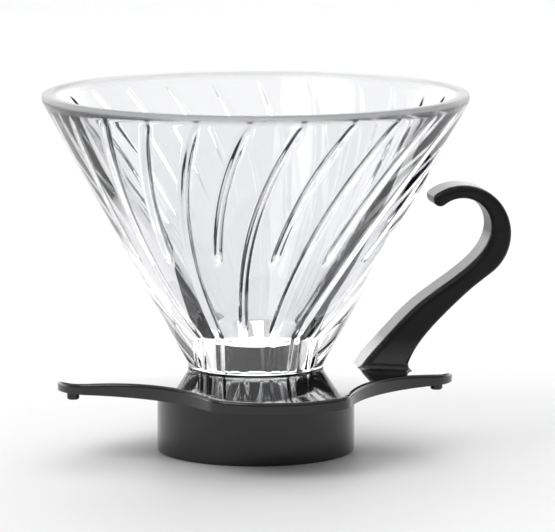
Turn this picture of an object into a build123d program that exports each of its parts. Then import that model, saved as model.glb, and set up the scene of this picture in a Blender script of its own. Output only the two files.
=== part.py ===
from build123d import *
import os
from math import cos, radians, sin, sqrt, tan

# Pour over dripper: a ribbed glass filter cone with a threaded neck, seated on a silicone
# gasket in a moulded base that carries the handle, and held from below by a screwed ring.
#
# Frame: millimetres, +Z up, +X towards the handle. The origin is on the cone's axis, in the
# flat underside of the base plate, which is the face that rests on a cup or a server.

# ---- driving dimensions -------------------------------------------------------------------

# base plate
wing_reach = 54.5          # centre to the tip of the handle wing and of the wing opposite
wing_half_width = 10.0     # half width of a wing where its tip begins
wing_shoulder = 49.0       # centre to the place where a wing's rounded tip begins
lobe_reach = 49.0          # centre to the outermost point of the front and back lobes
lobe_half_width = 18.5     # half width of a lobe where its rounded end begins
lobe_shoulder = 42.5       # centre to the place where a lobe's rounded end begins
notch_reach = 37.5         # centre to the deepest point of each concave flank
notch_angle = 43.0         # direction of that point from the handle's axis
outline_corner_radius = 8.0  # rounding where a wing or a lobe meets a flank
plate_crown = 5.4          # thickness of the domed plate at its centre
plate_edge = 2.4           # thickness of the plate at the wing tips
plate_round = 0.9          # rounding of the plate's upper edge

# flat seat for the cone's foot, faced off the dome, and the groove for its gasket
groove_depth = 1.1
groove_clearance = 0.4     # radial, between the gasket and the groove's wall
neck_hole_clearance = 0.4  # radial, between the gasket's sleeve and the hole for the neck

# locating collar under the plate
collar_radius = 27.0
collar_wall = 2.6
collar_depth = 18.0
collar_lip_round = 0.65

# locating nubs under the tips of the two wings
nub_radius = 1.7
nub_drop = 2.8
nub_round = 0.6
nub_inset = 4.2            # distance of a nub's centre from the plate's edge

# handle
handle_width = 13.0
handle_round = 1.7
handle_root_round = 1.8    # rounding between the leg and the plate
foot_inner = 26.6          # where the handle's leg leaves the plate, cone side
foot_outer = 40.6          # where the handle's leg leaves the plate, outer side
hook_reach = 70.0          # centre to the outermost point of the hook
hook_top = 54.3            # height of the hook's top above the underside
hook_radius = 13.5         # outer radius of the hook
hook_gap_radius = 8.0      # inner radius of the hook
hook_thickness = 5.6       # thickness of the hook at its outermost point
hook_top_thickness = 3.6   # thickness of the hook at its top
hook_tip_round = 1.9       # rounding of the hook's tip
leg_thickness = 6.0        # thickness of the leg where it meets the hook

# glass cone
rim_radius = 58.0
rim_lip = 2.2              # height of the upright lip at the rim
rim_wall = 3.2             # glass thickness at the rim
cone_half_angle = 28.7     # outer half angle
foot_land = 4.4            # width of the cone's foot outside the thread on its neck
foot_height = 0.8          # height of the foot's upright edge
foot_blend = 2.0           # radius of the curve between the foot and the cone
drip_radius = 11.2         # radius of the drip hole through the neck
throat_height = 11.8       # height of the tapered throat above the foot's underside
throat_radius = 11.6       # radius of the throat where it meets the inner cone
throat_blend = 1.5         # radius of the curve between the throat and the inner cone
neck_root_radius = 13.2
neck_length = 21.2         # length of the neck below the foot
neck_tip_round = 0.8

# spiral ribs inside the cone
rib_count = 12             # full-length ribs, with as many short ribs between them
rib_width = 2.6
rib_depth = 1.3
rib_top_depth = 0.45       # depth of a rib at its upper end, where it runs out
rib_root_sink = 0.9        # how far a rib is sunk into the wall
rib_sections = 6
rib_phase = 6.0            # direction of a long rib's lower end from the handle's axis, in degrees
rib_top_gap = 2.6          # distance of the ribs' upper ends below the rim
long_rib_foot = 6.5        # height of the long ribs' lower ends above the underside
short_rib_foot = 40.0      # height of the short ribs' lower ends above the underside
twist_rate = 0.22          # turn of a rib in degrees per millimetre of height
twist_growth = 0.0025      # growth of that turn per millimetre squared

# three-start thread between the neck and the lock ring
thread_starts = 3
thread_pitch = 4.0         # axial distance from one start to the next
thread_height = 1.0
thread_base = 1.6
thread_crest = 0.9
thread_root_sink = 0.6     # how far a bar of thread is sunk into its wall
thread_sweep = 110.0       # angle that each bar on the neck runs through
lug_sweep = 40.0           # angle that each bar in the ring runs through
thread_sections = 6
thread_clearance = 0.4     # radial, between each crest and the wall facing it
thread_depth = 10.0        # depth of the neck thread's lower end below the underside

# gasket and lock ring
gasket_thickness = 1.4
gasket_inset = 0.9         # how far the gasket's edge stays inside the foot's
gasket_sleeve_wall = 1.0
gasket_sleeve_depth = 2.2
foot_clearance = 0.6       # radial, between the cone's foot and the seat's edge
sleeve_clearance = 0.8     # radial, between the thread's crest and the gasket's sleeve
ring_gap = 0.3             # axial running clearance between the lock ring and the base
ring_flange_clearance = 1.8  # radial, between the lock ring's flange and the collar
ring_flange_thickness = 2.2
ring_wall = 4.2
ring_height = 15.5
ring_grip_count = 18
ring_grip_radius = 0.9

# ---- derived places -----------------------------------------------------------------------

dome_radius = wing_reach**2 / (2 * (plate_crown - plate_edge))


def plate_surface(radius):
    """Height of the domed upper face at a distance from the axis."""
    return plate_crown - dome_radius + sqrt(dome_radius**2 - radius**2)


thread_crest_radius = neck_root_radius + thread_height
foot_radius = thread_crest_radius + foot_land
seat_flat = plate_surface(foot_radius + foot_clearance)
groove_floor = seat_flat - groove_depth
seat_height = groove_floor + gasket_thickness
gasket_radius = foot_radius - gasket_inset
cone_slope = tan(radians(cone_half_angle))
foot_top = seat_height + foot_height
lip_start = foot_top + (rim_radius - foot_radius) / cone_slope
rim_height = lip_start + rim_lip
inner_rim_radius = rim_radius - rim_wall
rib_top = rim_height - rib_top_gap
throat_top = seat_height + throat_height
inner_slope = (inner_rim_radius - throat_radius) / (rim_height - throat_top)
throat_slope = (throat_radius - drip_radius) / throat_height
neck_end = seat_height - neck_length
sleeve_radius = thread_crest_radius + sleeve_clearance
neck_hole_radius = sleeve_radius + gasket_sleeve_wall + neck_hole_clearance
ring_bore_radius = thread_crest_radius + thread_clearance
ring_radius = ring_bore_radius + ring_wall
ring_flange_radius = collar_radius - collar_wall - ring_flange_clearance
ring_top = -ring_gap
ring_bottom = ring_top - ring_height
thread_lead = thread_pitch * thread_starts
thread_foot = -thread_depth


def inner_radius(height):
    """Radius of the inner wall, in the throat or in the cone, at a height."""
    slope = inner_slope if height > throat_top else throat_slope
    return throat_radius + (height - throat_top) * slope


def rib_turn(height):
    """Direction of a rib, in degrees, where it passes a height."""
    rise = height - long_rib_foot
    return rib_phase + twist_rate * rise + twist_growth * rise**2


# ---- base and handle, one moulding --------------------------------------------------------

with BuildPart() as handle:
    with BuildSketch(Plane.XZ) as handle_side:
        with BuildLine():
            outer_center = Vector(hook_reach - hook_radius, hook_top - hook_radius)
            inner_center = Vector(
                hook_reach - hook_thickness - hook_gap_radius,
                hook_top - hook_top_thickness - hook_gap_radius,
            )
            outer_arc = CenterArc(outer_center, hook_radius, -54, 182)
            inner_arc = CenterArc(inner_center, hook_gap_radius, -12, 170)
            Line(outer_arc @ 1, inner_arc @ 1)
            leg_end = outer_arc @ 0
            Spline(
                (foot_outer, 0),
                (foot_outer + 0.8, plate_edge + 2.8),
                (foot_outer + 4.9, plate_edge + 10.0),
                (foot_outer + 14.6, plate_edge + 20.0),
                leg_end,
                tangents=((0, 1), outer_arc % 0),
            )
            Spline(
                inner_arc @ 0,
                leg_end + Vector(-leg_thickness * 0.72, leg_thickness * 0.69),
                (foot_inner + 16.9, plate_edge + 19.0),
                (foot_inner + 8.8, plate_edge + 10.9),
                (foot_inner + 0.9, plate_edge + 1.6),
                (foot_inner, 0),
                tangents=(Vector(0, 0) - (inner_arc % 0), (0, -1)),
            )
            Line((foot_inner, 0), (foot_outer, 0))
        make_face()
        tip = (outer_arc @ 1 + inner_arc @ 1) / 2
        fillet(handle_side.vertices().sort_by_distance(tip)[:2], hook_tip_round)
    extrude(amount=handle_width / 2, both=True)
    handle_sides = handle.faces().sort_by(Axis.Y)
    side_edges = handle_sides[0].edges() + handle_sides[-1].edges()
    fillet(side_edges.filter_by(lambda edge: edge.center().Z > plate_edge / 2), handle_round)

with BuildPart() as base_and_handle:
    with BuildSketch(Plane.XY) as plate_outline:
        with BuildLine() as quarter:
            notch_x = notch_reach * cos(radians(notch_angle))
            notch_y = notch_reach * sin(radians(notch_angle))
            ThreePointArc(
                (wing_shoulder, wing_half_width),
                (notch_x, notch_y),
                (lobe_half_width, lobe_shoulder),
            )
            mirror(about=Plane.YZ)
            mirror(about=Plane.XZ)
            for side in (1, -1):
                ThreePointArc(
                    (side * wing_shoulder, -wing_half_width),
                    (side * wing_reach, 0),
                    (side * wing_shoulder, wing_half_width),
                )
                ThreePointArc(
                    (-lobe_half_width, side * lobe_shoulder),
                    (0, side * lobe_reach),
                    (lobe_half_width, side * lobe_shoulder),
                )
        make_face()
        fillet(plate_outline.vertices(), outline_corner_radius)
    extrude(amount=plate_crown)
    with BuildSketch(Plane.XZ):
        with BuildLine():
            dome_reach = wing_reach + plate_round
            Line((0, 0), (dome_reach, 0))
            Line((dome_reach, 0), (dome_reach, plate_surface(dome_reach)))
            RadiusArc((dome_reach, plate_surface(dome_reach)), (0, plate_crown), -dome_radius)
            Line((0, plate_crown), (0, 0))
        make_face()
    revolve(axis=Axis.Z, mode=Mode.INTERSECT)
    fillet(base_and_handle.faces().sort_by(Axis.Z)[-1].edges(), plate_round)

    # locating collar and locating nubs
    with BuildSketch(Plane.XY):
        Circle(collar_radius)
        Circle(collar_radius - collar_wall, mode=Mode.SUBTRACT)
    extrude(amount=-collar_depth)
    collar_lip = base_and_handle.faces().sort_by(Axis.Z)[0]
    fillet(collar_lip.edges(), collar_lip_round)
    nub_places = [(wing_reach - nub_inset, 0), (nub_inset - wing_reach, 0)]
    with BuildSketch(Plane.XY.offset(plate_edge / 2)):
        with Locations(*nub_places):
            Circle(nub_radius)
    extrude(amount=-nub_drop - plate_edge / 2)
    nub_tips = base_and_handle.faces().filter_by(Plane.XY).filter_by(
        lambda face: abs(face.center().Z + nub_drop) < 0.01
    )
    fillet(nub_tips.edges(), nub_round)

    add(handle.part)
    root_edges = base_and_handle.edges().filter_by(
        lambda edge: plate_edge < edge.center().Z < plate_crown
        and foot_inner - 1 < edge.center().X < foot_outer + 1
        and abs(edge.center().Y) < handle_width / 2 + 0.1
    )
    fillet(root_edges, handle_root_round)

    # flat seat for the foot, groove for the gasket and hole for the neck
    with BuildSketch(Plane.XY.offset(plate_crown)):
        Circle(foot_radius + foot_clearance)
    extrude(amount=seat_flat - plate_crown, mode=Mode.SUBTRACT)
    with BuildSketch(Plane.XY.offset(seat_flat)):
        Circle(gasket_radius + groove_clearance)
    extrude(amount=-groove_depth, mode=Mode.SUBTRACT)
    with BuildSketch(Plane.XY):
        Circle(neck_hole_radius)
    extrude(amount=seat_flat, mode=Mode.SUBTRACT)

# ---- silicone gasket under the cone's foot ------------------------------------------------

with BuildPart() as seat_gasket:
    with BuildSketch(Plane.XY.offset(groove_floor)):
        Circle(gasket_radius)
        Circle(sleeve_radius, mode=Mode.SUBTRACT)
    extrude(amount=gasket_thickness)
    with BuildSketch(Plane.XY.offset(groove_floor)):
        Circle(sleeve_radius + gasket_sleeve_wall)
        Circle(sleeve_radius, mode=Mode.SUBTRACT)
    extrude(amount=-gasket_sleeve_depth)

# ---- ribs of the cone ---------------------------------------------------------------------


def build_rib(foot):
    """One spiral rib, lofted through cross-sections that turn as they climb the wall."""
    with BuildPart() as rib:
        start = max(foot, throat_top)
        heights = [start + (rib_top - start) * step / (rib_sections - 1) for step in range(rib_sections)]
        if foot < start:
            heights.insert(0, foot)
        for height in heights:
            depth = rib_top_depth if height == heights[-1] else rib_depth
            turn = radians(rib_turn(height))
            radial = (cos(turn), sin(turn), 0)
            wall = Vector(*radial) * inner_radius(height)
            section_plane = Plane((wall.X, wall.Y, height), x_dir=radial, z_dir=(0, 0, 1))
            with BuildSketch(section_plane):
                with BuildLine():
                    Polyline(
                        (0, rib_width / 2),
                        (rib_root_sink, rib_width / 2),
                        (rib_root_sink, -rib_width / 2),
                        (0, -rib_width / 2),
                    )
                    ThreePointArc(
                        (0, -rib_width / 2),
                        (-depth, 0),
                        (0, rib_width / 2),
                    )
                make_face()
        loft()
    return rib.part


long_rib = build_rib(long_rib_foot)
short_rib = build_rib(short_rib_foot)


def build_thread_bar(radius, outward, start_angle, sweep_angle, start_height):
    """A bar of thread standing off a wall: outward on the neck, inward in the ring."""
    with BuildPart() as bar:
        for step in range(thread_sections):
            swept = sweep_angle * step / (thread_sections - 1)
            turn = radians(start_angle + swept)
            height = start_height + thread_lead * swept / 360
            origin = (radius * cos(turn), radius * sin(turn), height)
            radial = (outward * cos(turn), outward * sin(turn), 0)
            along = (-sin(turn), cos(turn), 0)
            with BuildSketch(Plane(origin, x_dir=radial, z_dir=along)):
                with BuildLine():
                    Polyline(
                        (-thread_root_sink, thread_base / 2),
                        (0, thread_base / 2),
                        (thread_height, thread_crest / 2),
                        (thread_height, -thread_crest / 2),
                        (0, -thread_base / 2),
                        (-thread_root_sink, -thread_base / 2),
                        close=True,
                    )
                make_face()
        loft()
    return bar.part


neck_thread_bar = build_thread_bar(neck_root_radius, 1, 0, thread_sweep, thread_foot)
ring_thread_bar = build_thread_bar(
    ring_bore_radius,
    -1,
    thread_sweep - lug_sweep,
    lug_sweep,
    thread_foot + thread_pitch / 2 + thread_lead * (thread_sweep - lug_sweep) / 360,
)

# ---- glass cone ---------------------------------------------------------------------------

with BuildPart() as glass_cone:
    with BuildSketch(Plane.XZ) as cone_wall:
        with BuildLine():
            Polyline(
                (drip_radius, neck_end),
                (neck_root_radius, neck_end),
                (neck_root_radius, seat_height),
                (foot_radius, seat_height),
                (foot_radius, foot_top),
                (rim_radius, lip_start),
                (rim_radius, rim_height),
                (inner_rim_radius, rim_height),
                (throat_radius, throat_top),
                (drip_radius, seat_height),
                close=True,
            )
        make_face()
        rim_corners = cone_wall.vertices().sort_by_distance((rim_radius, rim_height))[:2]
        fillet(rim_corners, rim_wall * 0.4)
        foot_corner = cone_wall.vertices().sort_by_distance((foot_radius, foot_top))[0]
        fillet(foot_corner, foot_blend)
        throat_corner = cone_wall.vertices().sort_by_distance((throat_radius, throat_top))[0]
        fillet(throat_corner, throat_blend)
    revolve(axis=Axis.Z)
    neck_tip = glass_cone.faces().sort_by(Axis.Z)[0]
    fillet(neck_tip.edges(), neck_tip_round)
    with PolarLocations(0, rib_count):
        add(long_rib)
    with PolarLocations(0, rib_count, start_angle=180 / rib_count):
        add(short_rib)
    with PolarLocations(0, thread_starts):
        add(neck_thread_bar)

# ---- lock ring ----------------------------------------------------------------------------

with BuildPart() as lock_ring:
    with BuildSketch(Plane.XY.offset(ring_bottom)):
        Circle(ring_radius)
        with PolarLocations(ring_radius, ring_grip_count):
            Circle(ring_grip_radius)
    extrude(amount=ring_height)
    with BuildSketch(Plane.XY.offset(ring_top)):
        Circle(ring_flange_radius)
    extrude(amount=-ring_flange_thickness)
    with BuildSketch(Plane.XY.offset(ring_bottom)):
        Circle(ring_bore_radius)
    extrude(amount=ring_height, mode=Mode.SUBTRACT)
    with PolarLocations(0, thread_starts):
        add(ring_thread_bar)

# ---- labels and files ---------------------------------------------------------------------

os.makedirs("parts", exist_ok=True)

base_and_handle.part.label = "base_and_handle"
export_step(base_and_handle.part, "parts/base_and_handle.step")

seat_gasket.part.label = "seat_gasket"
export_step(seat_gasket.part, "parts/seat_gasket.step")

glass_cone.part.label = "glass_cone"
export_step(glass_cone.part, "parts/glass_cone.step")

lock_ring.part.label = "lock_ring"
export_step(lock_ring.part, "parts/lock_ring.step")
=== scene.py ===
from math import cos, pi, radians, sin, sqrt, tan

import bmesh
import bpy
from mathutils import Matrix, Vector


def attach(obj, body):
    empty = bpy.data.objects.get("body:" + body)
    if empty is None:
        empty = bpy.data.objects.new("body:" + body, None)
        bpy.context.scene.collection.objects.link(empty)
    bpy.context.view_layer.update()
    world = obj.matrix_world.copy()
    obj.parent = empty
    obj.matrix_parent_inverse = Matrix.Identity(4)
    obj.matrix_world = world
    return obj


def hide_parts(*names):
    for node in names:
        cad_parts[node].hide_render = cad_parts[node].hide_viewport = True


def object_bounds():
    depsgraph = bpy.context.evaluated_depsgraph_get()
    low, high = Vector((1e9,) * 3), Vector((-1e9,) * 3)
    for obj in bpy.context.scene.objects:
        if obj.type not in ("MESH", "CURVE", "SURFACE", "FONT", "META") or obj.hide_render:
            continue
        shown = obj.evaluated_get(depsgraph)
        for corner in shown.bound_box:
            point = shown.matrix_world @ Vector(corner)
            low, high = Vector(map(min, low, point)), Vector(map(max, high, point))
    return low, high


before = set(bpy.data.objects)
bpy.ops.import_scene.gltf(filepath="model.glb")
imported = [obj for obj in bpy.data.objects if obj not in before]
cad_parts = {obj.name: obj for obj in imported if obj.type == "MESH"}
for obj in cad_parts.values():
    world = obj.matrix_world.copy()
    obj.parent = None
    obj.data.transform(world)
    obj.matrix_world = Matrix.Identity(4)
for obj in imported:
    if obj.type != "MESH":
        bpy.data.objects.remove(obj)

CAD_BOX = [list(corner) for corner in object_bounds()]

# ---- sizes of the glass cone, in metres, as in the CAD model --------------------------------

MM = 0.001
rim_radius = 58.0 * MM
rim_height = 80.29 * MM
rim_lip = 2.2 * MM
rim_wall = 3.2 * MM
outer_slope = tan(radians(28.7))
foot_radius = 18.6 * MM
seat_height = 5.33 * MM
drip_radius = 11.2 * MM
throat_radius = 11.6 * MM
throat_top = 17.13 * MM
neck_radius = 13.2 * MM
neck_end = -15.87 * MM

rib_count = 12
rib_half_width = 1.3 * MM
rib_depth = 1.3 * MM
rib_top = 77.69 * MM
rib_phase = radians(6.0)
twist_rate = 0.22      # turn of a rib in degrees per millimetre of height
twist_growth = 0.0025  # growth of that turn per millimetre squared
long_rib_foot = 6.5 * MM
short_rib_foot = 40.0 * MM

thread_starts = 3
thread_pitch = 4.0 * MM
thread_height = 1.0 * MM
thread_base = 1.6 * MM
thread_crest = 0.9 * MM
thread_sweep = radians(110.0)
thread_foot = -10.0 * MM

lip_start = rim_height - rim_lip
foot_top = lip_start - (rim_radius - foot_radius) / outer_slope
inner_rim_radius = rim_radius - rim_wall
inner_slope = (inner_rim_radius - throat_radius) / (rim_height - throat_top)
throat_slope = (throat_radius - drip_radius) / (throat_top - seat_height)


# ---- mesh helpers ---------------------------------------------------------------------------


def smoothstep(low, high, value):
    t = min(1.0, max(0.0, (value - low) / (high - low)))
    return t * t * (3 - 2 * t)


def mesh_object(name, vertices, faces):
    """A smooth-shaded mesh object with outward normals."""
    mesh = bpy.data.meshes.new(name)
    mesh.from_pydata(vertices, [], faces)
    mesh.validate()
    work = bmesh.new()
    work.from_mesh(mesh)
    bmesh.ops.recalc_face_normals(work, faces=work.faces)
    work.to_mesh(mesh)
    work.free()
    mesh.shade_smooth()
    piece = bpy.data.objects.new(name, mesh)
    bpy.context.scene.collection.objects.link(piece)
    return piece


def closed_tube(name, rings):
    """A torus-like surface: each ring is joined to the next, and the last to the first."""
    count = len(rings[0])
    vertices = [point for ring in rings for point in ring]
    faces = []
    for row in range(len(rings)):
        this, after = row * count, (row + 1) % len(rings) * count
        for k in range(count):
            following = (k + 1) % count
            faces.append((this + k, this + following, after + following, after + k))
    return mesh_object(name, vertices, faces)


# ---- the glass cone -------------------------------------------------------------------------

RIB_STEPS = 6       # grid columns across half a rib
PANEL_STEPS = 5     # grid columns from a rib's edge to the middle of the next panel
THROAT_ROWS = 12    # grid rows up the throat, and up the other walls
INNER_ROWS = 84
OUTER_ROWS = 40
NECK_ROWS = 64
RIB_TOP_FADE = 0.65    # share of its depth that a rib loses towards its upper end
THROAT_RIB = 0.15      # share of its depth that a rib keeps in the throat


def rib_turn(height):
    """Direction of a long rib at a height."""
    rise = (min(max(height, long_rib_foot), rim_height) - long_rib_foot) / MM
    return rib_phase + radians(twist_rate * rise + twist_growth * rise * rise)


def grid_angles(rib_half_angle):
    """Angles of the grid's columns around the axis, gathered at the 24 ribs."""
    half_sector = pi / (2 * rib_count)
    half = [rib_half_angle * step / RIB_STEPS for step in range(RIB_STEPS)]
    spare = half_sector - rib_half_angle
    half += [rib_half_angle + spare * step / PANEL_STEPS for step in range(PANEL_STEPS + 1)]
    sector = [-angle for angle in reversed(half[1:-1])] + half
    return [2 * half_sector * k + angle for k in range(2 * rib_count) for angle in sector]


def rib_bump(angle, radius, height):
    """How far the inner wall stands in at an angle from its nearest rib."""
    sector = pi / rib_count
    index = round(angle / sector)
    across = abs(angle - index * sector) * radius / rib_half_width
    if across >= 1:
        return 0.0
    foot = long_rib_foot if index % 2 == 0 else short_rib_foot
    fade = smoothstep(foot - 2 * MM, foot + 2 * MM, height)
    fade *= 1 - RIB_TOP_FADE * smoothstep(rib_top - 14 * MM, rib_top, height)
    fade *= 1 - smoothstep(rib_top - 1 * MM, rib_top + 0.6 * MM, height)
    fade *= THROAT_RIB + (1 - THROAT_RIB) * smoothstep(throat_top, throat_top + 7 * MM, height)
    return rib_depth * fade * cos(across * pi / 2) ** 1.4


def rounded(points, radius, steps=6):
    """Replaces the middle one of three points by an arc-like curve of about that radius."""
    before, corner, after = (Vector(p) for p in points)
    reach_in = min(radius, (before - corner).length / 2)
    reach_out = min(radius, (after - corner).length / 2)
    start = corner + (before - corner).normalized() * reach_in
    end = corner + (after - corner).normalized() * reach_out
    curve = []
    for step in range(steps + 1):
        t = step / steps
        curve.append(tuple(start * (1 - t) ** 2 + corner * 2 * t * (1 - t) + end * t * t))
    return curve


def thread_bump(angle, height):
    """How far the neck's outer wall stands out where a bar of its thread runs."""
    step = 2 * pi / thread_starts
    along = angle % step
    lead = thread_pitch * thread_starts
    middle = thread_foot + lead * along / (2 * pi)
    across = abs(height - middle)
    flank = (thread_base - thread_crest) / 2
    rise = min(1.0, max(0.0, (thread_base / 2 - across) / flank))
    ends = smoothstep(-0.02, 0.06, along) * (1 - smoothstep(-0.08, 0.0, along - thread_sweep))
    return thread_height * rise * ends


def straight(low, high, rows, radius_at):
    """Points of a straight wall between two heights, with the radius from a function."""
    heights = [low + (high - low) * row / rows for row in range(rows + 1)]
    return [(radius_at(height), height) for height in heights]


def throat_wall(height):
    return throat_radius + (height - throat_top) * throat_slope


def inner_wall(height):
    return throat_radius + (height - throat_top) * inner_slope


def outer_wall(height):
    return foot_radius + (height - foot_top) * outer_slope


def inner_profile():
    """The drip hole, the throat and the inner cone, from the neck's end up to the rim."""
    points = [(drip_radius, neck_end + 0.8 * MM), (drip_radius, neck_end + 6 * MM)]
    points += [(drip_radius, seat_height - 6 * MM)]
    points += rounded(
        [(drip_radius, seat_height - 2 * MM), (drip_radius, seat_height),
         (drip_radius + 2 * MM * throat_slope, seat_height + 2 * MM)], 0.5 * MM, 2)
    points += straight(seat_height + 1 * MM, throat_top - 1 * MM, THROAT_ROWS, throat_wall)
    points += rounded(
        [(throat_radius - 2 * MM * throat_slope, throat_top - 2 * MM), (throat_radius, throat_top),
         (throat_radius + 2 * MM * inner_slope, throat_top + 2 * MM)], 0.5 * MM)
    points += straight(throat_top + 0.8 * MM, rim_height - 1.2 * MM, INNER_ROWS, inner_wall)
    return points


def rim_profile():
    """The rounded rim, from the inner wall to the outer."""
    middle = (inner_rim_radius + 1.5 * MM, rim_height)
    points = rounded(
        [(inner_rim_radius - 1.2 * MM * inner_slope, rim_height - 1.2 * MM),
         (inner_rim_radius, rim_height), middle], 1.25 * MM)
    points += rounded(
        [middle, (rim_radius, rim_height), (rim_radius, rim_height - 1.3 * MM)], 1.25 * MM)
    return points


def outer_profile():
    """The upright lip, the smooth cone, the foot's short edge and its underside."""
    points = rounded(
        [(rim_radius, rim_height - 1.3 * MM), (rim_radius, lip_start),
         (rim_radius - 6 * MM * outer_slope, lip_start - 6 * MM)], 0.9 * MM)
    points += straight(lip_start - 2 * MM, foot_top + 2.2 * MM, OUTER_ROWS, outer_wall)
    points += rounded(
        [(foot_radius + 2 * MM * outer_slope, foot_top + 2 * MM), (foot_radius, foot_top),
         (foot_radius, seat_height)], 1.0 * MM, 6)
    points += rounded(
        [(foot_radius, foot_top), (foot_radius, seat_height),
         (foot_radius - 1.5 * MM, seat_height)], 0.3 * MM)
    points += rounded(
        [(neck_radius + 1.2 * MM, seat_height), (neck_radius, seat_height),
         (neck_radius, seat_height - 1.2 * MM)], 0.3 * MM)
    return points


def tip_profile():
    """The rounded lower end of the neck, from the outside to the drip hole."""
    points = rounded([(neck_radius, neck_end + 1.2 * MM), (neck_radius, neck_end),
                      (neck_radius - 1.2 * MM, neck_end)], 0.8 * MM)
    points += rounded([(drip_radius + 1.2 * MM, neck_end), (drip_radius, neck_end),
                       (drip_radius, neck_end + 0.8 * MM)], 0.7 * MM)[:-1]
    return points


def around(radius, height, angles, turn=0.0):
    """A round ring of points."""
    return [(radius * cos(angle + turn), radius * sin(angle + turn), height) for angle in angles]


def build_cone():
    """The glass cone as one closed mesh, ring by ring along its section."""
    rings = []
    for radius, height in inner_profile():
        turn = rib_turn(height)
        half_angle = min(rib_half_width / radius, 0.8 * pi / (2 * rib_count))
        ring = []
        for angle in grid_angles(half_angle):
            r = radius - rib_bump(angle, radius, height)
            ring.append((r * cos(angle + turn), r * sin(angle + turn), height))
        rings.append(ring)
    top_turn = rib_turn(rim_height)
    rim_angles = grid_angles(rib_half_width / inner_rim_radius)
    for radius, height in rim_profile():
        rings.append(around(radius, height, rim_angles, top_turn))
    plain_angles = grid_angles(rib_half_width / rim_radius * 1.5)
    for radius, height in outer_profile():
        share = smoothstep(foot_top, rim_height, height)
        rings.append(around(radius, height, plain_angles, top_turn * share))
    neck = straight(seat_height - 2 * MM, neck_end + 1.5 * MM, NECK_ROWS, lambda height: neck_radius)
    for radius, height in neck:
        ring = []
        for angle in plain_angles:
            r = radius + thread_bump(angle, height)
            ring.append((r * cos(angle), r * sin(angle), height))
        rings.append(ring)
    for radius, height in tip_profile():
        rings.append(around(radius, height, plain_angles))
    return closed_tube("filter_cone", rings)


# ---- materials ------------------------------------------------------------------------------


def new_material(name, **sockets):
    """A node material: a Principled shader with the given values on its sockets."""
    material = bpy.data.materials.new(name)
    material.use_nodes = True
    shader = material.node_tree.nodes["Principled BSDF"]
    for socket, value in sockets.items():
        shader.inputs[socket.replace("_", " ")].default_value = value
    return material, material.node_tree, shader


def add_bump(tree, shader, scale, detail, strength, distance):
    """Fine unevenness of the surface, from noise fixed to the object."""
    nodes, links = tree.nodes, tree.links
    place = nodes.new("ShaderNodeTexCoord")
    noise = nodes.new("ShaderNodeTexNoise")
    noise.inputs["Scale"].default_value = scale
    noise.inputs["Detail"].default_value = detail
    bump = nodes.new("ShaderNodeBump")
    bump.inputs["Strength"].default_value = strength
    bump.inputs["Distance"].default_value = distance
    links.new(place.outputs["Object"], noise.inputs["Vector"])
    links.new(noise.outputs["Fac"], bump.inputs["Height"])
    links.new(bump.outputs["Normal"], shader.inputs["Normal"])
    return noise


def add_roughness(tree, shader, noise, low, high):
    """Roughness that wanders between two values with the noise."""
    span = tree.nodes.new("ShaderNodeMapRange")
    span.inputs["To Min"].default_value = low
    span.inputs["To Max"].default_value = high
    tree.links.new(noise.outputs["Fac"], span.inputs["Value"])
    tree.links.new(span.outputs["Result"], shader.inputs["Roughness"])
    return span.outputs["Result"]


def by_height(tree, low, high, below, above):
    """A value that goes from one level to another between two heights on the object."""
    place = tree.nodes.new("ShaderNodeTexCoord")
    split = tree.nodes.new("ShaderNodeSeparateXYZ")
    span = tree.nodes.new("ShaderNodeMapRange")
    span.inputs["From Min"].default_value = low
    span.inputs["From Max"].default_value = high
    span.inputs["To Min"].default_value = below
    span.inputs["To Max"].default_value = above
    tree.links.new(place.outputs["Object"], split.inputs["Vector"])
    tree.links.new(split.outputs["Z"], span.inputs["Value"])
    return span.outputs["Result"]


def glass_material():
    material, tree, shader = new_material("clear_glass", Roughness=0.0, IOR=1.474)
    shader.inputs["Base Color"].default_value = (0.925, 0.928, 0.935, 1)
    add_bump(tree, shader, 38, 1.0, 0.25, 0.0006)
    # the fire-polished rim is slightly hazy
    low, high = rim_height - 2.4 * MM, rim_height - 0.6 * MM
    tree.links.new(by_height(tree, low, high, 0.0, 0.45), shader.inputs["Roughness"])
    tree.links.new(by_height(tree, low, high, 1.0, 0.68), shader.inputs["Transmission Weight"])
    return material


def gloss_material():
    material, tree, shader = new_material("gloss_black_moulding", IOR=1.52)
    shader.inputs["Base Color"].default_value = (0.012, 0.012, 0.013, 1)
    noise = add_bump(tree, shader, 30, 2.0, 0.10, 0.0004)
    plate_roughness = add_roughness(tree, shader, noise, 0.03, 0.09)
    # the handle, above the plate, is finished less glossy
    low, high = 7 * MM, 13 * MM
    finish = tree.nodes.new("ShaderNodeMath")
    finish.operation = "ADD"
    tree.links.new(plate_roughness, finish.inputs[0])
    tree.links.new(by_height(tree, low, high, 0.0, 0.22), finish.inputs[1])
    tree.links.new(finish.outputs[0], shader.inputs["Roughness"])
    tree.links.new(by_height(tree, low, high, 0.5, 0.15), shader.inputs["Specular IOR Level"])
    return material


def satin_material():
    material, tree, shader = new_material("satin_black_ring", IOR=1.5)
    shader.inputs["Base Color"].default_value = (0.02, 0.02, 0.021, 1)
    noise = add_bump(tree, shader, 1800, 2.0, 0.15, 0.0002)
    add_roughness(tree, shader, noise, 0.32, 0.45)
    return material


def silicone_material():
    material, tree, shader = new_material("black_silicone", IOR=1.41)
    shader.inputs["Base Color"].default_value = (0.018, 0.018, 0.018, 1)
    noise = add_bump(tree, shader, 900, 2.0, 0.2, 0.0002)
    add_roughness(tree, shader, noise, 0.5, 0.65)
    return material


def dress(node, material):
    """Gives a CAD node a new material in each of its slots."""
    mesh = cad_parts[node].data
    if not mesh.materials:
        mesh.materials.append(material)
    for slot in range(len(mesh.materials)):
        mesh.materials[slot] = material


# ---- the object -----------------------------------------------------------------------------

cone = build_cone()
cone.data.materials.append(glass_material())
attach(cone, "cone")
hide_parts("glass_cone")

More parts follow.
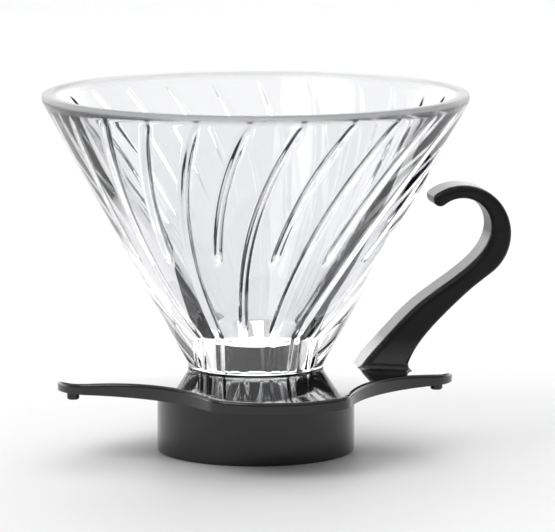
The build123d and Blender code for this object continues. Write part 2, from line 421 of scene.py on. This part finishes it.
dress("base_and_handle", gloss_material())
dress("seat_gasket", silicone_material())
dress("lock_ring", satin_material())

# ---- floor, light and camera ----------------------------------------------------------------

lowest = CAD_BOX[0][2]


def build_floor():
    size = 30.0
    mesh = bpy.data.meshes.new("floor")
    corners = [(-size, -size, lowest), (size, -size, lowest), (size, size, lowest),
               (-size, size, lowest)]
    mesh.from_pydata(corners, [], [(0, 1, 2, 3)])
    floor = bpy.data.objects.new("floor", mesh)
    bpy.context.scene.collection.objects.link(floor)
    material, tree, shader = new_material("pale_floor", Roughness=0.6)
    shader.inputs["Base Color"].default_value = (0.86, 0.86, 0.865, 1)
    mesh.materials.append(material)


def soft_light(name, place, target, width, height, power):
    light = bpy.data.lights.new(name, "AREA")
    light.shape = "RECTANGLE"
    light.size = width
    light.size_y = height
    light.energy = power
    lamp = bpy.data.objects.new(name, light)
    lamp.location = place
    direction = Vector(target) - Vector(place)
    lamp.rotation_euler = direction.to_track_quat("-Z", "Y").to_euler()
    bpy.context.scene.collection.objects.link(lamp)


def ramp_of(tree, source, stops):
    """A colour ramp through grey values, driven by an output."""
    ramp = tree.nodes.new("ShaderNodeValToRGB")
    while len(ramp.color_ramp.elements) < len(stops):
        ramp.color_ramp.elements.new(0.5)
    for element, (position, grey) in zip(ramp.color_ramp.elements, stops):
        element.position = position
        element.color = (grey, grey, grey, 1)
    tree.links.new(source, ramp.inputs["Fac"])
    return ramp.outputs["Color"]


def math_of(tree, operation, source, value=0.0):
    """The result of a maths node on an output."""
    node = tree.nodes.new("ShaderNodeMath")
    node.operation = operation
    tree.links.new(source, node.inputs[0])
    node.inputs[1].default_value = value
    return node.outputs[0]


def eased(tree, source, low, high):
    """A smooth step from 0 to 1 between two values of an output."""
    span = tree.nodes.new("ShaderNodeMapRange")
    span.interpolation_type = "SMOOTHSTEP"
    span.inputs["From Min"].default_value = low
    span.inputs["From Max"].default_value = high
    tree.links.new(source, span.inputs["Value"])
    return span.outputs["Result"]


def mixed(tree, share, first, second):
    """Two colours mixed by an output."""
    mix = tree.nodes.new("ShaderNodeMixRGB")
    tree.links.new(share, mix.inputs["Fac"])
    tree.links.new(first, mix.inputs["Color1"])
    tree.links.new(second, mix.inputs["Color2"])
    return mix.outputs["Color"]


# greys of the studio against the height of the direction, as shares of its brightness
ROOM = [(0.0, 0.18), (0.3, 0.10), (0.55, 0.14), (0.8, 0.26), (1.0, 0.28)]
WALL = [(0.0, 0.95), (0.30, 0.90), (0.45, 0.34), (1.0, 0.28)]
WALL_GAP = [(0.0, 0.95), (0.30, 0.90), (0.35, 0.02), (0.5, 0.02), (0.62, 0.28), (1.0, 0.28)]
STUDIO_BRIGHTNESS = 3.0


def build_world():
    """A studio: a bright low wall of light behind the object and a dimmer room in front.

    Above the middle of the wall is a dark gap, which the throat of the cone shows.
    """
    world = bpy.data.worlds.new("studio")
    bpy.context.scene.world = world
    world.use_nodes = True
    tree = world.node_tree
    background = tree.nodes["Background"]
    place = tree.nodes.new("ShaderNodeTexCoord")
    split = tree.nodes.new("ShaderNodeSeparateXYZ")
    tree.links.new(place.outputs["Generated"], split.inputs["Vector"])
    across, along, up = (split.outputs[axis] for axis in "XYZ")
    room, wall, gap = (ramp_of(tree, up, stops) for stops in (ROOM, WALL, WALL_GAP))
    off_centre = math_of(tree, "ABSOLUTE", math_of(tree, "SUBTRACT", across, 0.15))
    back = mixed(tree, eased(tree, off_centre, 0.4, 0.55), gap, wall)
    studio = mixed(tree, eased(tree, along, 0.1, 0.7), room, back)
    tree.links.new(studio, background.inputs["Color"])
    background.inputs["Strength"].default_value = STUDIO_BRIGHTNESS


def build_camera():
    azimuth, distance, height = radians(-9.0), 1.35, 0.226
    flat = sqrt(distance ** 2 - height ** 2)
    target = Vector((0.006, 0, 0.0325))
    place = Vector((flat * sin(azimuth), -flat * cos(azimuth), height))
    camera = bpy.data.cameras.new("camera")
    camera.sensor_width = 36.0
    camera.lens = 320.0
    camera.clip_end = 100.0
    lens = bpy.data.objects.new("camera", camera)
    lens.location = place
    lens.rotation_euler = (target - place).to_track_quat("-Z", "Y").to_euler()
    bpy.context.scene.collection.objects.link(lens)
    bpy.context.scene.camera = lens


build_floor()
build_world()
soft_light("key", (-0.9, -0.5, 1.3), (0, 0, 0.03), 0.9, 0.9, 7.5)
soft_light("back", (0.5, 1.2, 1.2), (0, 0, 0.03), 1.4, 0.8, 7.5)
build_camera()
bpy.context.scene.view_settings.view_transform = "Standard"
